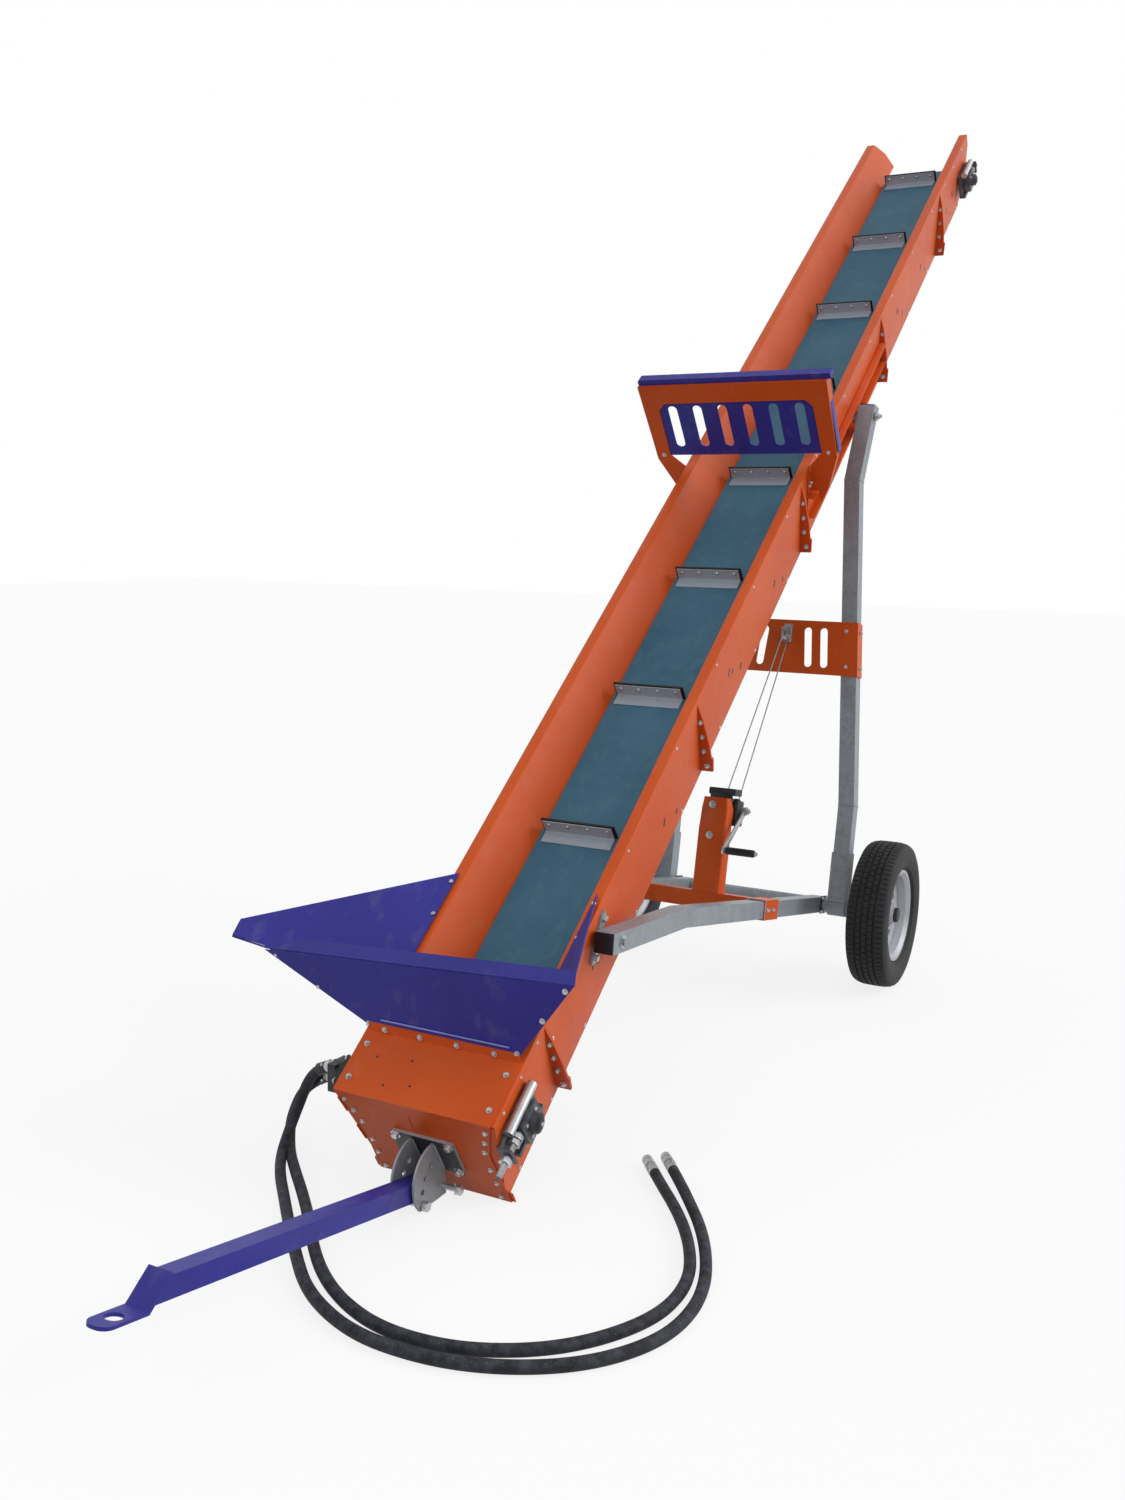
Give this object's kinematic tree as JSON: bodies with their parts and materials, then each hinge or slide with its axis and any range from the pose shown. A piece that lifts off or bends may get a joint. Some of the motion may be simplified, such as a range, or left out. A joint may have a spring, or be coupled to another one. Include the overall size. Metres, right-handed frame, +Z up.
{
  "type": "wheeled firewood conveyor",
  "caption": "Inclined belt conveyor for split firewood on a two-wheeled frame, with loading hopper, lifting struts, hand winch and folding drawbar.",
  "frame": {"origin": "middle of the machine's box on the ground", "axes": "+Y from the drawbar towards the raised head, +X to the right seen from the drawbar, +Z up"},
  "size_m": [1.5091, 5.6073, 3.6489],
  "materials": {
    "orange_paint": "satin powder coat",
    "blue_paint": "satin powder coat",
    "belt": "matt belt",
    "galvanised": "hot-dip galvanised",
    "bright_steel": "zinc plated",
    "dark_casting": "black painted casting",
    "grey_plastic": "matt",
    "hose": "woven sleeve over rubber",
    "tyre": "matt",
    "rim": "silver paint"
  },
  "bodies": {
    "chassis": {"arm_left": "galvanised", "arm_right": "galvanised", "cross_beam": "orange_paint", "winch_post": "orange_paint", "winch": "bright_steel", "winch_cover": "grey_plastic", "axle": "galvanised"},
    "conveyor": {"trough_tail": "orange_paint", "trough_lower": "orange_paint", "trough_middle": "orange_paint", "trough_strut_bay": "orange_paint", "trough_upper": "orange_paint", "trough_head": "orange_paint", "tail_cover": "orange_paint", "guard_frame": "orange_paint", "guard_panel": "blue_paint", "guard_bar": "blue_paint", "hopper_front": "blue_paint", "hopper_left_wing": "blue_paint", "hopper_right_wing": "blue_paint", "belt": "belt", "drum_tail": "galvanised", "drum_head": "galvanised", "takeup_tail_left": "bright_steel", "takeup_tail_right": "bright_steel", "takeup_head_left": "bright_steel", "takeup_head_right": "bright_steel", "hydraulic_motor": "dark_casting", "hitch_clevis": "galvanised", "hitch_pin": "bright_steel", "lock_pin": "bright_steel", "pivot_plate_left": "galvanised", "pivot_plate_right": "galvanised", "hose_outer": "hose", "hose_inner": "hose", "coupling_outer": "bright_steel", "coupling_inner": "bright_steel"},
    "struts": {"strut_left": "galvanised", "strut_right": "galvanised", "cross_plate": "orange_paint", "pulley_block": "bright_steel", "roller_left": "bright_steel", "roller_right": "bright_steel"},
    "drawbar": {"drawbar": "blue_paint"},
    "wheel_left": {"tyre_left": "tyre", "rim_left": "rim"},
    "wheel_right": {"tyre_right": "tyre", "rim_right": "rim"}
  },
  "joints": [
    {"name": "lift", "type": "hinge", "parent": "chassis", "child": "conveyor", "pos_m": [0.03025, -1.17768, 0.60752], "axis": [1, 0, 0], "range_deg": [-9, 10]},
    {"name": "strut_swing", "type": "hinge", "parent": "chassis", "child": "struts", "pos_m": [0.03025, 0.67048, 0.28], "axis": [1, 0, 0], "range_deg": [-17.2, 19]},
    {"name": "drawbar_swing", "type": "hinge", "parent": "conveyor", "child": "drawbar", "pos_m": [0.03025, -1.66221, 0.0347], "axis": [-1, 0, 0], "range_deg": [0, 40]},
    {"name": "wheel_left_spin", "type": "hinge", "parent": "chassis", "child": "wheel_left", "pos_m": [-0.52175, 0.67048, 0.28], "axis": [1, 0, 0], "continuous": true},
    {"name": "wheel_right_spin", "type": "hinge", "parent": "chassis", "child": "wheel_right", "pos_m": [0.58225, 0.67048, 0.28], "axis": [1, 0, 0], "continuous": true}
  ],
  "couplings": [
    {"joint": "strut_swing", "follows": "lift", "ratio": 1.885}
  ]
}
